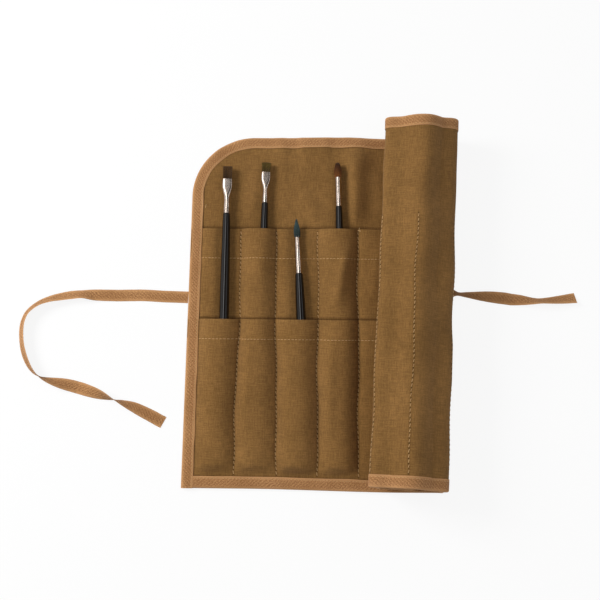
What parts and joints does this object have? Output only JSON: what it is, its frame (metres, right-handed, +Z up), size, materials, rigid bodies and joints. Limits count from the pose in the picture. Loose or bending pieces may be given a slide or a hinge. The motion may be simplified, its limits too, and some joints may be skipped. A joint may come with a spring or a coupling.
{
  "type": "brush roll",
  "caption": "Canvas brush roll with bound edges, two tiers of stitched pockets, tie tapes and long-handled artist's brushes; one side rolled up.",
  "frame": {"origin": "on the surface that the roll lies on, under the middle of the box of the sheet and its rolled side", "axes": "+Z up, +Y towards the flap above the pockets, +X towards the rolled side"},
  "size_m": [0.5541, 0.3614, 0.0629],
  "materials": {
    "canvas": "plain-weave tan cotton canvas, matte",
    "twill_tape": "light tan cotton twill tape, matte",
    "black_lacquer": "black gloss lacquer on wood",
    "nickel_ferrule": "bright nickel plate",
    "brown_hair": "brown brush hair, slightly shiny",
    "olive_hair": "olive brown brush hair, slightly shiny",
    "blue_grey_hair": "blue-grey brush hair, slightly shiny",
    "red_hair": "dark red-brown brush hair, slightly shiny"
  },
  "bodies": {
    "sheet": {"backing_panel": "canvas", "upper_pocket_panel": "canvas", "lower_pocket_panel": "canvas", "edge_binding_left_top": "twill_tape", "edge_binding_bottom": "twill_tape", "tie_left": "twill_tape", "tie_right": "twill_tape"},
    "roll_1": {"backing_roll_1": "canvas", "upper_pocket_roll_1": "canvas", "lower_pocket_roll_1": "canvas", "edge_binding_top_roll_1": "twill_tape", "edge_binding_bottom_roll_1": "twill_tape"},
    "roll_2": {"backing_roll_2": "canvas", "upper_pocket_roll_2": "canvas", "lower_pocket_roll_2": "canvas", "edge_binding_top_roll_2": "twill_tape", "edge_binding_bottom_roll_2": "twill_tape"},
    "roll_3": {"backing_roll_3": "canvas", "upper_pocket_roll_3": "canvas", "lower_pocket_roll_3": "canvas", "edge_binding_top_roll_3": "twill_tape", "edge_binding_bottom_roll_3": "twill_tape"},
    "roll_4": {"backing_roll_4": "canvas", "upper_pocket_roll_4": "canvas", "lower_pocket_roll_4": "canvas", "edge_binding_top_roll_4": "twill_tape", "edge_binding_bottom_roll_4": "twill_tape"},
    "roll_5": {"backing_roll_5": "canvas", "upper_pocket_roll_5": "canvas", "lower_pocket_roll_5": "canvas", "edge_binding_top_roll_5": "twill_tape", "edge_binding_bottom_roll_5": "twill_tape"},
    "brush_1": {"brush_1_handle": "black_lacquer", "brush_1_ferrule": "nickel_ferrule", "brush_1_bristles": "brown_hair"},
    "brush_2": {"brush_2_handle": "black_lacquer", "brush_2_ferrule": "nickel_ferrule", "brush_2_bristles": "olive_hair"},
    "brush_3": {"brush_3_handle": "black_lacquer", "brush_3_ferrule": "nickel_ferrule", "brush_3_bristles": "blue_grey_hair"},
    "brush_4": {"brush_4_handle": "black_lacquer", "brush_4_ferrule": "nickel_ferrule", "brush_4_bristles": "red_hair"}
  },
  "joints": [
    {"name": "unroll_1", "type": "hinge", "parent": "sheet", "child": "roll_1", "pos_m": [0.11938, -0.00166, 0.0013], "axis": [0.0523, 0.9986, 0], "range_deg": [0, 84], "deforming": ["tie_right"]},
    {"name": "unroll_2", "type": "hinge", "parent": "roll_1", "child": "roll_2", "pos_m": [0.12356, -0.00188, 0.04108], "axis": [0.0523, 0.9986, 0], "range_deg": [0, 65]},
    {"name": "unroll_3", "type": "hinge", "parent": "roll_2", "child": "roll_3", "pos_m": [0.08932, -0.00008, 0.06168], "axis": [0.0523, 0.9986, 0], "range_deg": [0, 51]},
    {"name": "unroll_4", "type": "hinge", "parent": "roll_3", "child": "roll_4", "pos_m": [0.05178, 0.00188, 0.048], "axis": [0.0523, 0.9986, 0], "range_deg": [0, 88]},
    {"name": "unroll_5", "type": "hinge", "parent": "roll_4", "child": "roll_5", "pos_m": [0.06413, 0.00124, 0.00996], "axis": [0.0523, 0.9986, 0], "range_deg": [0, 90]},
    {"name": "slide_brush_1", "type": "slide", "parent": "sheet", "child": "brush_1", "axis": [-0.0051, 1, 0], "range_m": [0, 0.165]},
    {"name": "slide_brush_2", "type": "slide", "parent": "sheet", "child": "brush_2", "axis": [0.0154, 0.9999, 0], "range_m": [0, 0.26]},
    {"name": "slide_brush_3", "type": "slide", "parent": "sheet", "child": "brush_3", "axis": [-0.0567, 0.9984, 0], "range_m": [0, 0.165]},
    {"name": "slide_brush_4", "type": "slide", "parent": "sheet", "child": "brush_4", "axis": [-0.0267, 0.9996, 0], "range_m": [0, 0.26]}
  ],
  "couplings": [
    {"joint": "unroll_2", "follows": "unroll_1", "ratio": 0.77381},
    {"joint": "unroll_3", "follows": "unroll_1", "ratio": 0.60714},
    {"joint": "unroll_4", "follows": "unroll_1", "ratio": 1.0476},
    {"joint": "unroll_5", "follows": "unroll_1", "ratio": 1.0714}
  ]
}
